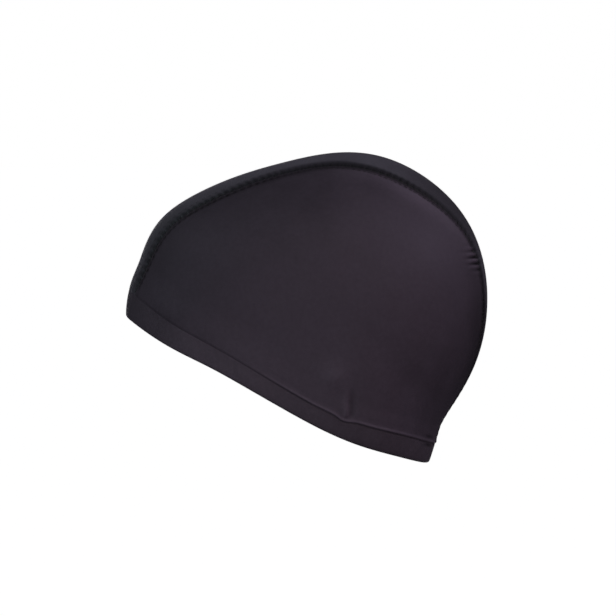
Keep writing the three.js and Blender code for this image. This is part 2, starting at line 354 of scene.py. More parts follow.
# A faint crease in front of the ear and very soft waves all over, as sums of sines.
softRelief = {
    "creaseFrom": (-60.6 * mm, -3.4 * mm),
    "creaseTo": (-33 * mm, -17.3 * mm),
    "creaseDepth": 0.12 * mm,
    "creaseWidth": 2.2 * mm,
    "waveHeight": 0.09 * mm,
}


def softHeight(x, z):
    (x0, z0), (x1, z1) = softRelief["creaseFrom"], softRelief["creaseTo"]
    length = np.hypot(x1 - x0, z1 - z0)
    share = ((x - x0) * (x1 - x0) + (z - z0) * (z1 - z0)) / length ** 2
    off = ((z - z0) * (x1 - x0) - (x - x0) * (z1 - z0)) / length
    crease = -softRelief["creaseDepth"] * bell(off, softRelief["creaseWidth"]) * bell(share - 0.5, 0.45)
    waves = np.sin(x / (11 * mm) + 0.8 * np.sin(z / (17 * mm)))
    waves = waves + np.sin((x * 0.5 + z) / (8.3 * mm) + 1.7) + np.sin((x - z) / (15.1 * mm) + 0.4)
    return crease + softRelief["waveHeight"] * waves


# A closed wall: the outer grid, the same grid drawn in by the wall's thickness, and the border
# between them. Grids are (columns, rows); a ring closes its columns and has no ends.
def wallFaces(columns, rows):
    index = np.arange(columns * rows).reshape(columns, rows)
    a, b, c, d = index[:-1, :-1], index[1:, :-1], index[1:, 1:], index[:-1, 1:]
    outer = np.stack([a, b, c, d], -1).reshape(-1, 4)
    under = columns * rows
    border = np.concatenate([index[:-1, 0], index[-1, :-1], index[:0:-1, -1], index[0, :0:-1]])
    ahead = np.roll(border, -1)
    edge = np.stack([ahead, border, border + under, ahead + under], -1)
    return np.concatenate([outer, outer[:, ::-1] + under, edge])


def ringFaces(columns, rows):
    index = np.arange(columns * rows).reshape(columns, rows)
    a, b = index, np.roll(index, -1, 0)
    c, d = np.roll(b, -1, 1), np.roll(index, -1, 1)
    return np.stack([a, b, c, d], -1).reshape(-1, 4)


# Six times the volume inside the faces: above 0 where they point out.
def signedVolume(points, faces):
    a, b, c, d = (points[faces[:, k]] for k in range(4))
    return np.sum(a * np.cross(b, c)) + np.sum(a * np.cross(c, d))


def addObject(name, data):
    item = bpy.data.objects.new(name, data)
    bpy.context.scene.collection.objects.link(item)
    return item


# Limits of the painted light and shade, above 0 darker and below 0 lighter.
shadeLimits = (-1.4, 1.25)


# Puts points, faces and maps into a mesh object that rides on the part's body. The last faces, a wall's
# border, are shaded flat.
def makePiece(name, points, faces, material, uv=None, lightAndShade=None, borderFaces=0):
    points = points.reshape(-1, 3) - openingMiddle
    if signedVolume(points - points.mean(0), faces) < 0:
        faces = faces[:, ::-1]
    mesh = bpy.data.meshes.new(name)
    mesh.vertices.add(len(points))
    mesh.vertices.foreach_set("co", points.astype(np.float32).ravel())
    mesh.loops.add(faces.size)
    mesh.loops.foreach_set("vertex_index", faces.ravel().astype(np.int32))
    mesh.polygons.add(len(faces))
    mesh.polygons.foreach_set("loop_start", np.arange(0, faces.size, 4, dtype=np.int32))
    mesh.polygons.foreach_set("use_smooth", np.arange(len(faces)) < len(faces) - borderFaces)
    if uv is not None:
        layer = mesh.uv_layers.new(name="knitMap")
        layer.data.foreach_set("uv", uv.reshape(-1, 2)[faces.ravel()].astype(np.float32).ravel())
    # painted light and shade, kept on the points for the knit's colour and specular
    if lightAndShade is not None:
        values = np.clip(lightAndShade, *shadeLimits).astype(np.float32).ravel()
        mesh.attributes.new("paintedLightAndShade", "FLOAT", "POINT").data.foreach_set("value", values)
    mesh.update(calc_edges=True)
    mesh.validate()
    mesh.materials.append(material)
    piece = addObject(name, mesh)
    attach(piece, "root")
    print(f"{name}: {len(mesh.polygons)} faces")
    return piece


# A wall of cloth behind its outer face, with the same map and painted light and shade on both sides.
def makeCloth(name, outer, wall, material, uv, lightAndShade):
    inner = lifted(outer, np.full(lightAndShade.shape, -wall))
    points = np.concatenate([outer.reshape(-1, 3), inner.reshape(-1, 3)])
    uv = np.concatenate([uv.reshape(-1, 2)] * 2)
    lightAndShades = np.concatenate([lightAndShade.ravel()] * 2)
    borderFaces = 2 * sum(lightAndShade.shape) - 4
    return makePiece(name, points, wallFaces(*lightAndShade.shape), material, uv, lightAndShades, borderFaces)


def newMaterial(name):
    material = bpy.data.materials.new(name)
    material.use_nodes = True
    return material, material.node_tree.nodes, material.node_tree.links


def setInputs(node, values):
    for name, value in values.items():
        node.inputs[name].default_value = value


def mathNode(nodes, links, operation, first, second=None):
    node = nodes.new("ShaderNodeMath")
    node.operation = operation
    for k, value in enumerate((first, second)):
        if value is None:
            continue
        if isinstance(value, (int, float)):
            node.inputs[k].default_value = value
        else:
            links.new(value, node.inputs[k])
    return node.outputs[0]


# Noise over the piece's own place.
def noiseNode(nodes, links, scale, detail=2, roughness=0.5):
    place = nodes.new("ShaderNodeTexCoord")
    noise = nodes.new("ShaderNodeTexNoise")
    setInputs(noise, {"Scale": scale, "Detail": detail, "Roughness": roughness})
    links.new(place.outputs["Object"], noise.inputs["Vector"])
    return noise.outputs["Fac"]


# A colour that gets darker and lighter by a share of itself as the value goes from low to high.
def shadedColor(nodes, links, value, color, share, low=0.0, high=1.0):
    ramp = nodes.new("ShaderNodeValToRGB")
    for k, (position, factor) in enumerate(((low, 1 - share), (high, 1 + share))):
        ramp.color_ramp.elements[k].position = position
        ramp.color_ramp.elements[k].color = (*[v * factor for v in color], 1)
    links.new(value, ramp.inputs["Fac"])
    return ramp.outputs["Color"]


def bumpNode(nodes, links, height, strength, depth, under=None):
    bump = nodes.new("ShaderNodeBump")
    setInputs(bump, {"Strength": strength, "Distance": depth})
    links.new(height, bump.inputs["Height"])
    if under is not None:
        links.new(under, bump.inputs["Normal"])
    return bump.outputs["Normal"]


# Stretch knit: rows of small V stitches as bump with painted shade between the rows, cloudy and speckled,
# with each piece's painted light and shade in its colour and specular, and a sheen.
def knitMaterial(name, look):
    material, nodes, links = newMaterial(name)
    shader = nodes["Principled BSDF"]
    setInputs(shader, {
        "Sheen Weight": look["sheen"],
        "Sheen Roughness": look["sheenRoughness"],
        "Sheen Tint": (*look["sheenTint"], 1),
        "Specular Tint": (*look["specularTint"], 1),
    })

    uvMap = nodes.new("ShaderNodeUVMap")
    uvMap.uv_map = "knitMap"
    split = nodes.new("ShaderNodeSeparateXYZ")
    links.new(uvMap.outputs["UV"], split.inputs[0])
    # across one wale: 0 at its middle, 1 at its sides
    wale = mathNode(nodes, links, "DIVIDE", split.outputs["X"], look["wale"])
    wale = mathNode(nodes, links, "FRACT", wale)
    across = mathNode(nodes, links, "ABSOLUTE", mathNode(nodes, links, "SUBTRACT", wale, 0.5))
    across = mathNode(nodes, links, "MULTIPLY", across, 2.0)
    course = mathNode(nodes, links, "DIVIDE", split.outputs["Y"], look["course"])
    vee = mathNode(nodes, links, "ADD", course, mathNode(nodes, links, "MULTIPLY", across, 0.5))
    wave = mathNode(nodes, links, "SINE", mathNode(nodes, links, "MULTIPLY", vee, 2 * np.pi))
    roundness = mathNode(nodes, links, "SUBTRACT", 1.0, mathNode(nodes, links, "POWER", across, 2.0))
    wave = mathNode(nodes, links, "ADD", mathNode(nodes, links, "MULTIPLY", wave, 0.3), 0.7)
    loops = mathNode(nodes, links, "MULTIPLY", roundness, wave)

    clouds = noiseNode(nodes, links, look["cloudScale"], 3)
    fuzz = noiseNode(nodes, links, look["fuzzScale"])
    specks = noiseNode(nodes, links, look["speckScale"], 4, 0.6)
    cloudy = shadedColor(nodes, links, clouds, look["color"], look["cloudShare"], 0.3, 0.7)

    # each piece's painted light and shade: above 0 it darkens colour and specular, below 0 it lightens
    # them
    lightAndShade = nodes.new("ShaderNodeAttribute")
    lightAndShade.attribute_name = "paintedLightAndShade"
    shade = mathNode(nodes, links, "MULTIPLY", lightAndShade.outputs["Fac"], look["shadeStrength"])
    light = mathNode(nodes, links, "SUBTRACT", 1.0, shade)
    # painted shade between the rows of stitches, lighter on top of each stitch
    rowShade = mathNode(nodes, links, "MULTIPLY", loops, look["rowShadeShare"])
    rowShade = mathNode(nodes, links, "ADD", rowShade, 0.82)
    mottle = mathNode(nodes, links, "MULTIPLY", specks, look["speckShare"])
    mottle = mathNode(nodes, links, "ADD", mottle, 1 - look["speckShare"] / 2)
    light = mathNode(nodes, links, "MULTIPLY", light, mottle)
    factor = mathNode(nodes, links, "MULTIPLY", light, rowShade)
    shine = mathNode(nodes, links, "MULTIPLY", light, look["specular"])
    links.new(shine, shader.inputs["Specular IOR Level"])
    scaled = nodes.new("ShaderNodeVectorMath")
    scaled.operation = "SCALE"
    links.new(cloudy, scaled.inputs[0])
    links.new(factor, scaled.inputs["Scale"])
    links.new(scaled.outputs[0], shader.inputs["Base Color"])

    rough = nodes.new("ShaderNodeMapRange")
    setInputs(rough, {"From Min": 0.3, "From Max": 0.7})
    setInputs(rough, {"To Min": look["roughness"] - 0.05, "To Max": look["roughness"] + 0.05})
    links.new(clouds, rough.inputs["Value"])
    links.new(rough.outputs[0], shader.inputs["Roughness"])

    fine = bumpNode(nodes, links, fuzz, look["fuzzStrength"], look["fuzzDepth"])
    knit = bumpNode(nodes, links, loops, look["knitStrength"], look["knitDepth"], fine)
    links.new(knit, shader.inputs["Normal"])
    return material


knitLook = {
    "color": (0.0215, 0.0168, 0.0232),
    "roughness": 0.62,
    "specular": 0.33,
    "sheen": 0.03,
    "sheenRoughness": 0.45,
    "sheenTint": (0.92, 0.78, 1.0),
    "specularTint": (0.97, 0.79, 1.0),
    "wale": 0.42 * mm,
    "course": 0.36 * mm,
    "knitStrength": 0.55,
    "knitDepth": 0.06 * mm,
    # painted shade between the rows of stitches
    "rowShadeShare": 0.3,  # how much lighter a stitch is on top than between the rows
    "fuzzScale": 2600,
    "fuzzStrength": 0.5,
    "fuzzDepth": 0.03 * mm,
    "cloudScale": 60,
    "cloudShare": 0.14,
    "speckScale": 420,
    "speckShare": 0.3,
    # how strongly the painted light and shade change colour and specular
    "shadeStrength": 0.66,
}
panelKnit = knitMaterial("panel_knit", knitLook)
# The strip's knit is lighter and bluer: partly its own colour, partly painted light where it faces up.
stripKnit = knitMaterial("strip_knit", {**knitLook, "color": (0.0234, 0.0217, 0.0276), "sheen": 0.05,
                                       "specularTint": (0.9, 0.9, 1.0)})
# The hem's knit is painted lighter than the panels', standing in for light on a face that turns down.
hemKnit = knitMaterial("hem_knit", {**knitLook, "color": (0.0262, 0.0208, 0.0272), "roughness": 0.66})


# Thread: dark, with fine lighter and darker streaks.
def threadMaterial(name, color):
    material, nodes, links = newMaterial(name)
    shader = nodes["Principled BSDF"]
    setInputs(shader, {"Roughness": threadLook["roughness"], "Specular IOR Level": threadLook["specular"]})
    fibres = noiseNode(nodes, links, threadLook["streakScale"])
    streaks = shadedColor(nodes, links, fibres, color, threadLook["streakShare"])
    links.new(streaks, shader.inputs["Base Color"])
    bump = bumpNode(nodes, links, fibres, threadLook["bumpStrength"], threadLook["bumpDepth"])
    links.new(bump, shader.inputs["Normal"])
    return material


threadLook = {
    "roughness": 0.6,
    "specular": 0.3,
    "streakScale": 1800,
    "streakShare": 0.3,
    "bumpStrength": 0.6,
    "bumpDepth": 0.04 * mm,
}
thread = threadMaterial("black_thread", (0.0065, 0.0058, 0.007))
hemThread = threadMaterial("hem_thread", (0.0205, 0.0165, 0.0215))

# The turned hem round the opening.
hemBand = {
    "columns": 960,
    "rows": 50,
    "wall": 2.2 * mm,
    "lift": 1.0 * mm,
    # the cut, up the outer face and down the inner: up as shares of the hem's height, out of its wall
    "up": np.array([0, .02, .09, .3, .7, .93, .98, 1, .97, .5, .03]),
    "out": np.array([.2, .65, .93, 1, 1, .99, .7, .2, 0, 0, 0]),
    "stitchLine": 1.45 * mm,  # below the upper edge
    "stitchDepth": 0.32 * mm,
    "stitchWidth": 0.55 * mm,
    "ridgeLine": 0.3 * mm,
    "ridgeHeight": 0.34 * mm,
    "ridgeWidth": 0.75 * mm,
    "hollowLine": 2.4 * mm,  # above the upper edge
    "hollowDepth": 0.12 * mm,
    "hollowWidth": 1.0 * mm,
    "lap": 0.035 * mm,  # how far panels and strip stand proud of it where they lap over
    "frontRamp": 17 * mm,
    "backRamp": 10 * mm,
    "needlePitch": 2.8 * mm,
    "showLeast": 0.04,  # the stitch line in front of the ear, as a share of what it is behind it
    "showPlace": 0.43,
    "showSpread": 0.04,
    "pullHeight": 0.05 * mm,
    "pullLine": 5 * mm,
    "pullWidth": 2.5 * mm,
    "waveHeight": 0.08 * mm,
    # painted light and shade in even steps from forehead to nape, above 0 darker; the front half is
    # painted lighter
    "lightAndShades": np.array([-.1, -.55, -.65, -.45, -.3, -.15, -.05, 0, 0]),
    # painted shade in the stitch line's groove and a painted highlight on the ridge over it
    "grooveShade": 0.35,
    "grooveShadeWidth": 0.7 * mm,
    "ridgeHighlight": -0.85,
    "ridgeHighlightWidth": 0.85 * mm,
    # painted shade at the ends of the stitch line near the nape, above and below it
    "knotPlace": 49 * mm,  # this far back
    "knotShade": 1.1,
    "knotLength": 2.8 * mm,
    "knotWidth": 0.8 * mm,
    "knotAbove": 1.9 * mm,
    "knotBelow": 2.6 * mm,
    # painted light on the panel and painted shade on the hem, which hide the step between them in front of
    # the ear
    "stepShade": 0.08,
    "stepReach": 9 * mm,
    "panelStepLight": -0.22,
    "panelStepReach": 11 * mm,
    "flat": (0.0155, 0.45),
}


# The stitches along the seams and the hem.
stitches = {
    "radius": 0.14 * mm,
    "rowOffset": 5.0 * mm,  # the row on the side panel lies this far from the seam
    "rowPitch": 2.9 * mm,
    "rowLength": 2.2 * mm,
    "rowEnds": (4 * mm, 6 * mm),  # left free at the forehead and at the nape
    "rowArch": 0.14 * mm,
    "rowSunk": 0.05 * mm,
    "ladderPitch": 1.9 * mm,
    "ladderReach": 1.7 * mm,
    "ladderSlant": 0.35 * mm,
    "ladderEnds": (1.5 * mm, 2 * mm),
    "ladderArch": -0.3 * mm,
    "hemStitch": 0.8,  # share of the pitch
    "hemArch": 0.16 * mm,
    "hemSunk": 0.3 * mm,
    "cordRadius": 0.55 * mm,
    "cordDepth": 1.35 * mm,
}


# The side panels.
sidePanel = {
    "columns": 560,
    "rows": 84,
    "wall": 1.1 * mm,
    "underHem": 1.2 * mm,  # the lower edge lies this far below the hem's upper edge
    "rowArc": 70,  # degrees
    "mapMiddle": np.array([4, 0, 4]) * mm,
    "mapRadius": 84 * mm,
    "flat": (0.172, 0.128),  # the cut before it was stretched
    "flatArea": 0.0176,
}
panelEdge = halfStrip(np.array([0.0, 1.0])) + seams["gap"] / 2
firstAngle = angleAt(-sidePanel["underHem"], panelEdge[0], False)
lastAngle = angleAt(-sidePanel["underHem"], panelEdge[1], True)
tuckStation = (rimAngle(tuck["place"]) - firstAngle) / (lastAngle - firstAngle)
puckerStation = 0.86


# The columns are closer together at the tuck and at the puckers.
def columnDensity(station):
    return 1 + 1.2 * bell(station - tuckStation, 0.03) + 1.5 * bell(station - puckerStation, 0.03)


panelStations = spacedShares(sidePanel["columns"], columnDensity)


# The seam's upper line at a station: turn from seamStart to seamEnd, y half the strip's width.
def seamPoint(station, shift):
    turn = seamStart + (seamEnd - seamStart) * station
    return formPoint(turn, halfStrip(station) + shift)


seamSteps = np.linspace(0, 1, 1601)
seamCurve = seamPoint(seamSteps, 0.0)
seamLength = runningLength(seamCurve)


# The shortest way from a curve, given on the right side, to each point, and the length along the curve
# where it starts: from its nearest point, then from the foot on the tangent there.
def nearestOn(curve, length, p):
    onRight = np.abs(p) * [0, 1, 0] + p * [1, 0, 1]
    tangent = unit(np.gradient(curve, axis=0))
    reach = length[1] - length[0]
    away = np.empty(p.shape)
    along = np.empty(p.shape[:-1])
    for j in range(p.shape[1]):
        nearest = np.linalg.norm(onRight[:, j, None, :] - curve[None], axis=-1).argmin(1)
        gap = onRight[:, j] - curve[nearest]
        step = np.clip(np.sum(gap * tangent[nearest], -1), -reach, reach)
        away[:, j] = gap - step[:, None] * tangent[nearest]
        along[:, j] = length[nearest] + step
    return away, along


# The hem's upper edge from the middle of the forehead to the middle of the nape.
hemSteps = np.linspace(0, np.pi, 401)
hemCurve = onForm(*linePlace(1.0, 0.0, hemSteps), 1)
hemLength = runningLength(hemCurve)


# How clearly the hem's stitch line shows at a share of the way along the rim: faintly in front of the
# ear and fully behind it.
def stitchShow(along):
    least = hemBand["showLeast"]
    return least + (1 - least) / (1 + np.exp(-(along - hemBand["showPlace"]) / hemBand["showSpread"]))


# Relief round the hem's stitch line at a depth below the upper edge: a ridge over a groove with
# needle marks, each a bell.
def stitchLineRelief(below, along, run):
    show = stitchShow(along)
    needle = 0.8 + 0.2 * np.cos(2 * np.pi * run / hemBand["needlePitch"])
    groove = hemBand["stitchDepth"] * bell(below - hemBand["stitchLine"], hemBand["stitchWidth"]) * needle
    ridge = hemBand["ridgeHeight"] * bell(below - hemBand["ridgeLine"], hemBand["ridgeWidth"])
    hollow = hemBand["hollowDepth"] * bell(below + hemBand["hollowLine"], hemBand["hollowWidth"])
    return show * (ridge - groove - hollow)


# Share of the way along the rim from forehead to nape, for points near the hem.
def hemShare(p):
    return np.clip(((p - rimFront) @ rimChord) / rimSpan, 0, 1)


# Painted light and shade round the stitch line: a painted highlight on the ridge over painted shade in the
# groove, and painted shade at its ends near the nape.
def stitchLineShade(below, x, show):
    groove = hemBand["grooveShade"] * bell(below - hemBand["stitchLine"], hemBand["grooveShadeWidth"])
    ridge = hemBand["ridgeHighlight"] * bell(below - hemBand["ridgeLine"], hemBand["ridgeHighlightWidth"])
    over = bell(below + hemBand["knotAbove"], hemBand["knotWidth"])
    under = bell(below - hemBand["knotBelow"], hemBand["knotWidth"])
    knotShades = hemBand["knotShade"] * bell(x - hemBand["knotPlace"], hemBand["knotLength"]) * (over + under)
    return show * (groove + ridge + knotShades)


# Painted light on the panel and painted shade on the hem, which hide the step between them in front of
# the ear, fading upwards on the panel and downwards on the hem.
def stepShade(below, show):
    onHem = hemBand["stepShade"] * np.clip(1 - below / hemBand["stepReach"], 0, 1)
    onPanel = hemBand["panelStepLight"] * bell(below, hemBand["panelStepReach"])
    return (1 - show) * np.where(below > 0, onHem, onPanel)


# Painted shade and light of the tuck's fold, a painted highlight on the swell in front of it, and a faint
# wide painted glow.
def tuckLightAndShade(x, z):
    away = np.hypot(x - tuckFoot[0] + tuck["swellAhead"], z - tuckFoot[1] - tuck["swellRise"])
    swell = tuck["swellHighlight"] * bell(away, tuck["swellSpread"])
    glow = tuck["glowLight"] * bell(away, tuck["glowSpread"])
    return tuck["lightAndShade"] * tuckFold(x, z) + swell + glow


# Panels and strip rise to the hem's face over a short ramp, (1 - t)^2 (1 + 2t), and lap over its upper
# edge. Gives the height and the distance above the hem.
def hemRamp(p):
    away, run = nearestOn(hemCurve, hemLength, p)
    distance = np.linalg.norm(away, axis=-1) * np.sign(away @ rimUp)
    along = rimShare(np.interp(run, hemLength, hemSteps))
    length = hemBand["frontRamp"] + (hemBand["backRamp"] - hemBand["frontRamp"]) * stitchShow(along)
    t = np.clip(distance / length, 0, 1)
    rise = (hemBand["lift"] + hemBand["lap"]) * (1 - t) ** 2 * (1 + 2 * t)
    return rise + stitchLineRelief(-distance, along, run), distance


# Painted light and shade beside a seam, above 0 darker and below it lighter: a band of painted shade,
# e away in the side view, that is gathered into ovals towards the forehead, a dashed line of painted
# shade at the sunk stitches, painted shade beside it at the back, a painted highlight below it where
# the crown turns down, and painted shade in the puckers' troughs with painted light on their ridges.
def seamShade(along, e, d, puckers, reach):
    front = 1 / (1 + np.exp((along - seams["gatheredTo"]) / seams["gatherFade"]))
    phase = gatherPhase(along)
    ovals = 1 - seams["ovalShade"] * front * (0.5 - 0.5 * np.cos(phase)) ** 2
    dashes = front * bell(d - stitches["rowOffset"], seams["dashWidth"])
    dashes = dashes * (0.55 + 0.45 * np.cos(phase + 0.9))
    share = along / seamLength[-1]
    band = openSpline(seams["bandShade"], share) * np.exp(-(e / openSpline(reach, share)) ** 4)
    highlight = bell(d - seams["rolledFrom"], seams["rolledReach"])
    highlight = highlight * bell(along - seams["rolledMiddle"], seams["rolledSpread"]) * np.clip(1 - band, 0, 1)
    back = bell(along - seams["backMiddle"], seams["backSpread"]) * bell(e, seams["backReach"])
    lightAndShade = band * ovals + dashes + seams["rolledHighlight"] * highlight + seams["backShade"] * back
    return lightAndShade + backPuckers["lightAndShade"] * puckers


# The groove of a seam is shallower where it runs into the hem.
def seamFade(aboveHem):
    least = seams["leastByHem"]
    return least + (1 - least) * np.clip(aboveHem / seams["hemFade"], 0, 1)


# Panel point before its relief: the low and the high end of a column joined straight in the side
# view, sin(arc row)/sin(arc) of the way, and put out to the side onto the form.
def panelGrid(station, row, side):
    low = linePlace(1.0, -sidePanel["underHem"], firstAngle + (lastAngle - firstAngle) * station)
    high = seamPoint(station, seams["gap"] / 2)
    arc = np.radians(sidePanel["rowArc"])
    share = np.sin(arc * row) / np.sin(arc)
    x = low[0] + (high[..., 0] - low[0]) * share
    z = low[1] + (high[..., 2] - low[1]) * share
    p = onForm(x, z, side)
    atSeam = high * [1, side, 1]
    return np.where((row >= 1)[..., None], atSeam, p)


# Flat map of the knit in real size: how far round the form a point lies from the panel's middle.
def panelMap(p):
    away = p - sidePanel["mapMiddle"]
    length = np.linalg.norm(away, axis=-1)
    angle = np.arccos(np.clip(np.abs(away[..., 1]) / length, 0, 1))
    side = np.hypot(away[..., 0], away[..., 2]) + 1e-9
    reach = angle * sidePanel["mapRadius"]
    return np.stack([reach * away[..., 0] / side, reach * away[..., 2] / side], -1)


def buildPanel(name, side):
    rows = spacedShares(sidePanel["rows"], lambda r: 1 + 3.5 * bell(1 - r, 0.05) + 8 * bell(r, 0.024))
    station, row = np.meshgrid(panelStations, rows, indexing="ij")
    p = panelGrid(station, row, side)
    away, along = nearestOn(seamCurve[::4], seamLength[::4], p)
    distance = np.linalg.norm(away, axis=-1)
    x, z = p[..., 0], p[..., 2]
    ramp, aboveHem = hemRamp(p)
    seamRelief = grooveHeight(distance) + gatherHeight(along, distance)
    puckers = backPuckerShare(x, z, distance)
    height = tuckHeight(x, z) + seamRelief * seamFade(aboveHem) + ramp
    height = height - backPuckers["depth"] * puckers + softHeight(x, z)
    lightAndShade = seamShade(along, np.hypot(away[..., 0], away[..., 2]), distance, puckers, seams["panelBand"])
    lightAndShade = lightAndShade * seamFade(aboveHem)
    show = stitchShow(hemShare(p))
    lightAndShade = lightAndShade + stitchLineShade(-aboveHem, x, show) + stepShade(-aboveHem, show) + tuckLightAndShade(x, z)
    outer = lifted(p, height)
    piece = makeCloth(name + "_knit", outer, sidePanel["wall"], panelKnit, panelMap(p), lightAndShade)
    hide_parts(name)


for side, name in ((-1, "left_panel"), (1, "right_panel")):
    buildPanel(name, side)

# The centre strip from forehead to nape.
crownStrip = {
    "columns": 560,
    "rows": 84,
    "wall": 1.1 * mm,
    # painted light and shade in even steps from forehead to nape, above 0 darker
    "lightAndShades": np.array([-.2, -.65, -.85, -1.0, -1.15, -1.35, .35, .8, -.65, 1.4, .9, .6]),
    # painted shade: the seam's band of it ends here
    "bandEnd": 7 * mm,  # the seam's dark band ends at about this distance
    "flat": (0.062, 0.262),
    "flatArea": 0.0158,
}


# Along the strip the turn runs evenly between the hem's two ends, and across it y is a share of half
# the strip's width.
def buildStrip():
    edge = halfStrip(np.array([0.0, 1.0])) - seams["gap"] / 2
    half = spacedShares(crownStrip["rows"] // 2, lambda s: 1 + 3 * bell(1 - s, 0.12))
    share = np.concatenate([-half[:0:-1], half])
    stations = np.linspace(0, 1, crownStrip["columns"])
    first, last = endTurns(-sidePanel["underHem"], np.abs(share) * edge[0], np.abs(share) * edge[1])
    turn = first + (last - first) * stations[:, None]
    edgeTurn = turn[:, :1]
    halfWidth = halfStripAt(edgeTurn) - seams["gap"] / 2
    p = formPoint(turn, share * halfWidth)
    distance = (1 - np.abs(share)) * halfWidth
    along = np.interp((turn - seamStart) / (seamEnd - seamStart), seamSteps, seamLength)
    sideGap = (formPoint(turn, halfWidth) - p)[..., [0, 2]]
    ramp, aboveHem = hemRamp(p)
    seamRelief = grooveHeight(distance) + gatherHeight(along, distance)
    height = seamRelief * seamFade(aboveHem) + ramp + softHeight(p[..., 0], p[..., 2])
    puckers = backPuckers["onStrip"] * backPuckerShare(p[..., 0], p[..., 2], distance)
    height = height - backPuckers["depth"] * puckers
    uv = np.stack(np.broadcast_arrays(share * halfWidth, along), -1)
    lightAndShade = seamShade(along, np.linalg.norm(sideGap, axis=-1), distance, puckers, seams["stripBand"])
    lightAndShade = np.clip(lightAndShade, 0, None) * np.exp(-(distance / crownStrip["bandEnd"]) ** 4) * seamFade(aboveHem)
    lightAndShade = lightAndShade + openSpline(crownStrip["lightAndShades"], along / seamLength[-1]) * np.clip(1 - lightAndShade, 0, 1)
    outer = lifted(p, height)
    piece = makeCloth("crown_strip_knit", outer, crownStrip["wall"], stripKnit, uv, lightAndShade)
    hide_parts("crown_strip")


buildStrip()


# Catmull-Rom curve through values that close on themselves.
def closedCurve(values, place):
    first = np.floor(place).astype(int)
    f = place - first
    a, b, c, d = (values[(first + k) % len(values)] for k in (-1, 0, 1, 2))
    square = a - 2.5 * b + 2 * c - d / 2
    cube = 1.5 * (b - c) + (d - a) / 2
    return b + f * (c - a) / 2 + f ** 2 * square + f ** 3 * cube


# Angles round the opening, evenly spaced along the rim: 0 to pi on the left, on to 2 pi on the right.
def evenAngles(count):
    fine = np.linspace(0, np.pi, 4001)
    length = runningLength(onForm(*linePlace(0.5, 0.0, fine), -1))
    return np.interp(np.linspace(0, length[-1], count + 1)[:-1], length, fine), length[-1]


# Relief of the hem's outer face: its stitch line, a slight pull below that, and soft waves.
def hemRelief(up, out, along, run):
    below = (1 - up) * hemHeightAt(along)
    face = np.clip((out - 0.35) / 0.6, 0, 1)
    pull = np.cos(np.pi * run / hemBand["needlePitch"] + np.sin(run / (7 * mm)))
    pull = hemBand["pullHeight"] * pull * bell(below - hemBand["pullLine"], hemBand["pullWidth"])
    waves = hemBand["waveHeight"] * (np.sin(run / (5.3 * mm)) + np.sin(run / (8.9 * mm) + 1.1))
    waves = waves * (1 - bell(below, 3 * mm))
    height = stitchLineRelief(below, along, run) + pull
    return face * (height + waves * bell(up - 0.4, 0.4))


# Round the cut, the rows are closer together at the stitch line and at the lower edge.
def hemRowDensity(share):
    return 1 + 2.4 * bell(share - 0.42, 0.07) + 1.2 * bell(share - 0.04, 0.05)


def buildHem():
    halfAngles, halfRun = evenAngles(hemBand["columns"] // 2)
    angle = np.concatenate([halfAngles, [np.pi], halfAngles[:0:-1]])
    side = np.where(np.arange(len(angle)) < len(halfAngles), -1, 1)[:, None]
    run = halfRun - np.abs(np.linspace(-halfRun, halfRun, len(angle), endpoint=False))[:, None]
    places = np.linspace(0, len(hemBand["up"]), 2001)
    ups, outs = closedCurve(hemBand["up"], places), closedCurve(hemBand["out"], places)
    cut = np.stack([outs * hemBand["wall"], 0 * ups, ups * rimLine["hemHeight"]], -1)
    cutLength = runningLength(cut)
    share = spacedShares(hemBand["rows"] + 1, hemRowDensity)[:-1]
    place = np.interp(share * cutLength[-1], cutLength, places)
    up, out = closedCurve(hemBand["up"], place)[None, :], closedCurve(hemBand["out"], place)[None, :]
    x, z = linePlace(up, 0.0, angle[:, None])
    p = onForm(x, z, side)
    along = rimShare(angle[:, None])
    height = hemBand["lift"] - hemBand["wall"] * (1 - out) + hemRelief(up, out, along, run)
    points = lifted(p, height)
    uv = np.stack(np.broadcast_arrays(run, share * cutLength[-1]), -1)
    below = (1 - up) * hemHeightAt(along)
    show = stitchShow(along)
    lightAndShade = stitchLineShade(below, x, show) + openSpline(hemBand["lightAndShades"], along) + stepShade(below, show)
    piece = makePiece("hem_band_knit", points, ringFaces(*x.shape), hemKnit, uv, lightAndShade * (out > 0.5))
    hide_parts("hem_band")


buildHem()

ringPoints = 8
ringTurns = np.linspace(0, 2 * np.pi, ringPoints, endpoint=False)[:, None]
barRings = 7


# Faces of a tube of rings, 8 points each, with both ends closed by three quads.
def tubeFaces(rings):
    index = np.arange(rings * ringPoints).reshape(rings, ringPoints)
    ahead = np.roll(index, -1, 1)
    walls = np.stack([index[:-1], ahead[:-1], ahead[1:], index[1:]], -1).reshape(-1, 4)
    lid = np.array([[0, 1, 2, 3], [0, 3, 4, 7], [4, 5, 6, 7]])
    return np.concatenate([walls, lid[:, ::-1], lid + (rings - 1) * ringPoints])


# The two directions across a thread that runs ahead on cloth that faces up.
def sidewaysAndLift(ahead, up):
    sideways = unit(np.cross(up, ahead))
    return sideways, np.cross(ahead, sideways)


# A bar of thread runs from start to end with its middle raised. Ring point: centre + r (cos t sideways +
# sin t up), r = radius (1 - 0.55 s^6), s from -1 to 1.
def threadBars(starts, ends, up, radius, arch):
    way = ends - starts
    sideways, lift = sidewaysAndLift(unit(way), up)
    s = np.linspace(-1, 1, barRings)
    centre = starts[:, None] + way[:, None] * ((s + 1) / 2)[None, :, None]
    centre = centre + lift[:, None] * (arch * (1 - s ** 2))[None, :, None]
    ring = np.cos(ringTurns) * sideways[:, None, None] + np.sin(ringTurns) * lift[:, None, None]
    r = radius * (1 - 0.55 * s ** 6)
    points = centre[:, :, None] + ring * r[None, :, None, None]
    firsts = np.arange(len(starts)) * barRings * ringPoints
    faces = (tubeFaces(barRings)[None] + firsts[:, None, None]).reshape(-1, 4)
    return points.reshape(-1, 3), faces


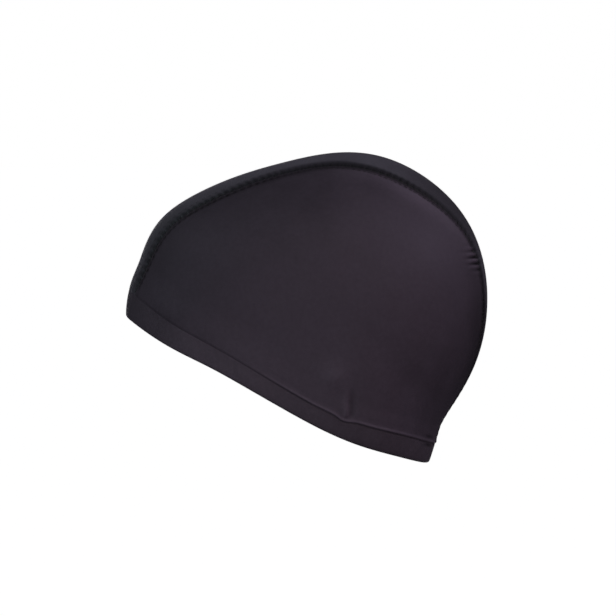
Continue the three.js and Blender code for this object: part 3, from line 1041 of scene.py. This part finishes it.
# A round cord along a line of points.
def cordAlong(line, up, radius):
    sideways, lift = sidewaysAndLift(unit(np.gradient(line, axis=0)), up)
    ring = np.cos(ringTurns) * sideways[:, None] + np.sin(ringTurns) * lift[:, None]
    return (line[:, None] + ring * radius).reshape(-1, 3), tubeFaces(len(line))


def joined(parts):
    points, faces, count = [], [], 0
    for p, f in parts:
        points.append(p)
        faces.append(f + count)
        count += len(p)
    return np.concatenate(points), np.concatenate(faces)


# The seam line at lengths along it, with the directions along it, out of the form and down to the
# side panel.
def seamFrame(length):
    station = np.interp(length, seamLength, seamSteps)
    p = seamPoint(station, 0.0)
    before, after = np.clip(station - 1e-3, 0, 1), np.clip(station + 1e-3, 0, 1)
    ahead = unit(seamPoint(after, 0.0) - seamPoint(before, 0.0))
    up = outward(p)
    down = np.cross(up, ahead)
    down *= np.sign(down[:, 1:2])
    return p, ahead, up, down


# How far the cloth rises at points near the hem, and what share of the groove's depth is left there.
def atHem(p):
    ramp, aboveHem = hemRamp(p[:, None])
    return ramp[:, 0], seamFade(aboveHem[:, 0])


# The stitches of one seam: a row on the side panel, a ladder across the seam and a cord in its groove.
def seamStitches(name, side):
    mirror = np.array([1, side, 1])
    total = seamLength[-1]
    parts = []
    # the row on the side panel
    first, last = stitches["rowEnds"]
    starts = np.arange(first, total - last, stitches["rowPitch"])
    ends = []
    for length in (starts, starts + stitches["rowLength"]):
        p, ahead, up, down = seamFrame(length)
        q = p + down * stitches["rowOffset"]
        q = onForm(q[:, 0], q[:, 2], 1)
        offset = np.full(len(q), stitches["rowOffset"])
        ramp, fade = atHem(q)
        height = (grooveHeight(offset) + gatherHeight(length, offset)) * fade + ramp
        height = height - backPuckers["depth"] * backPuckerShare(q[:, 0], q[:, 2], offset)
        ends.append(lifted(q, height - stitches["rowSunk"]) * mirror)
    parts.append(threadBars(ends[0], ends[1], up * mirror, stitches["radius"], stitches["rowArch"]))
    # the ladder across the seam
    first, last = stitches["ladderEnds"]
    length = np.arange(first, total - last, stitches["ladderPitch"])
    slant = stitches["ladderSlant"] * np.where(np.arange(len(length)) % 2, 1, -1)[:, None]
    p, ahead, up, down = seamFrame(length)
    ramp, fade = atHem(p)
    height = grooveHeight(np.array(stitches["ladderReach"])) * fade + ramp - 0.1 * stitches["radius"]
    height = height[:, None]
    near = (p + down * stitches["ladderReach"] + ahead * slant + up * height) * mirror
    far = (p - down * stitches["ladderReach"] - ahead * slant + up * height) * mirror
    parts.append(threadBars(near, far, up * mirror, stitches["radius"], stitches["ladderArch"]))
    # the cord of locked threads at the bottom of the groove
    length = np.linspace(0, total, 900)
    p, ahead, up, down = seamFrame(length)
    ramp, fade = atHem(p)
    line = p + up * (ramp - stitches["cordDepth"] * fade)[:, None]
    parts.append(cordAlong(line * mirror, up * mirror, stitches["cordRadius"]))
    points, faces = joined(parts)
    piece = makePiece(name, points, faces, thread)


seamStitches("left_seam_stitches", -1)
seamStitches("right_seam_stitches", 1)


# The row of stitches round the hem, sunk into it in front of the ear, where it hardly shows.
def hemStitches():
    parts = []
    fine = np.linspace(0.02, np.pi - 0.02, 4001)
    along = rimShare(fine)
    rise = 1 - hemBand["stitchLine"] / hemHeightAt(along)
    x, z = linePlace(rise, 0.0, fine)
    for side in (-1, 1):
        line = onForm(x, z, side)
        length = runningLength(line)
        starts = np.arange(1 * mm, length[-1] - 3 * mm, hemBand["needlePitch"])
        ends = []
        for place in (starts, starts + stitches["hemStitch"] * hemBand["needlePitch"]):
            p = np.stack([np.interp(place, length, line[:, k]) for k in range(3)], -1)
            show = stitchShow(np.interp(place, length, along))
            sunk = 0.85 * show * hemBand["stitchDepth"] + (1 - 0.6 * show) * stitches["hemSunk"]
            ends.append(lifted(p, hemBand["lift"] - sunk))
        up = outward(ends[0])
        parts.append(threadBars(ends[0], ends[1], up, stitches["radius"], stitches["hemArch"]))
    points, faces = joined(parts)
    piece = makePiece("hem_stitches", points, faces, hemThread)


hemStitches()

# Plain pale floor, well below the cap. It shows white and throws no light back up.
floorPlate = {"height": -1.9, "reach": 400, "color": (0.92, 0.92, 0.92, 1), "glow": 1.05}


def makeFloor():
    reach, height = floorPlate["reach"], floorPlate["height"]
    corners = [(x * reach, y * reach, height) for x, y in ((-1, -1), (1, -1), (1, 1), (-1, 1))]
    mesh = bpy.data.meshes.new("floor")
    mesh.from_pydata(corners, [], [(0, 1, 2, 3)])
    material, nodes, _ = newMaterial("pale_floor")
    setInputs(nodes["Principled BSDF"], {
        "Base Color": floorPlate["color"],
        "Roughness": 0.9,
        "Emission Color": floorPlate["color"],
        "Emission Strength": floorPlate["glow"],
    })
    mesh.materials.append(material)
    floor = addObject("floor", mesh)
    floor.visible_diffuse = False
    floor.visible_glossy = False


makeFloor()
print("floor laid")

# The camera of the photograph: a long lens a little in front of the ear and a little above it.
view = {
    "azimuth": -5,
    "elevation": 5,
    "distance": 1.45,
    "perPixel": 0.538 * mm,
    "pictureWidth": 616,
    "originPixel": (277.2, 389.0),
    "sensor": 36,
}


# The direction to a place round the cap: azimuth from the wearer's left towards the back, elevation up.
def directionTo(azimuth, elevation):
    turn, rise = np.radians(azimuth), np.radians(elevation)
    return Vector((np.sin(turn) * np.cos(rise), -np.cos(turn) * np.cos(rise), np.sin(rise)))


def makeCamera():
    back = directionTo(view["azimuth"], view["elevation"])
    right = directionTo(view["azimuth"] + 90, 0)
    middle = view["pictureWidth"] / 2
    target = right * (middle - view["originPixel"][0]) * view["perPixel"]
    target += back.cross(right) * (view["originPixel"][1] - middle) * view["perPixel"]
    camera = addObject("camera", bpy.data.cameras.new("camera"))
    camera.location = back * view["distance"]
    camera.rotation_euler = (target - camera.location).to_track_quat("-Z", "Y").to_euler()
    camera.data.sensor_width = view["sensor"]
    camera.data.lens = view["sensor"] * view["distance"] / (view["pictureWidth"] * view["perPixel"])
    camera.data.clip_end = 1000
    bpy.context.scene.camera = camera


makeCamera()
print("camera set")

# Soft studio light, most of it from the camera's side and some from a little below, as pale walls and a
# pale floor throw it back. One lamp lights the far side.
lamps = [
    {"name": "high_front", "azimuth": 15, "elevation": 35, "power": 4.8, "color": (0.98, 1.0, 0.84)},
    {"name": "front_left", "azimuth": -18, "elevation": -6, "power": 8.5, "color": (0.92, 0.94, 1.0)},
    {"name": "low_right", "azimuth": 45, "elevation": -5, "power": 3.5, "color": (1.0, 0.74, 0.84)},
    {"name": "right", "azimuth": 75, "elevation": 36, "power": 11.4, "color": (0.9, 0.84, 1.0)},
    {"name": "far_side", "azimuth": 178, "elevation": -6, "power": 5.5, "color": (1.0, 0.98, 1.0)},
    {"name": "high_left", "azimuth": -75, "elevation": 35, "power": 6.2, "color": (0.8, 0.98, 1.0)},
]
lampSetup = {"size": 0.9, "distance": 1.6, "aim": (0.016, 0, 0.044)}


def hangLamp(lamp):
    light = bpy.data.lights.new(lamp["name"], "AREA")
    light.size = lampSetup["size"]
    light.energy = lamp["power"]
    light.color = lamp["color"]
    way = directionTo(lamp["azimuth"], lamp["elevation"])
    item = addObject(lamp["name"], light)
    item.location = Vector(lampSetup["aim"]) + way * lampSetup["distance"]
    item.rotation_euler = (-way).to_track_quat("-Z", "Y").to_euler()


for lamp in lamps:
    hangLamp(lamp)
print("lamps:", len(lamps))


# White behind the cap, and a weaker pale light on it.
def makeWorld():
    world = bpy.data.worlds.new("studio")
    bpy.context.scene.world = world
    world.use_nodes = True
    nodes, links = world.node_tree.nodes, world.node_tree.links
    fill = nodes["Background"]
    setInputs(fill, {"Color": (0.95, 0.93, 1.0, 1), "Strength": 0.04})
    seen = nodes.new("ShaderNodeBackground")
    setInputs(seen, {"Color": (1, 1, 1, 1), "Strength": 1.0})
    ray = nodes.new("ShaderNodeLightPath")
    mix = nodes.new("ShaderNodeMixShader")
    links.new(ray.outputs["Is Camera Ray"], mix.inputs["Fac"])
    links.new(fill.outputs[0], mix.inputs[1])
    links.new(seen.outputs[0], mix.inputs[2])
    links.new(mix.outputs[0], nodes["World Output"].inputs["Surface"])


makeWorld()
bpy.context.scene.view_settings.view_transform = "Standard"
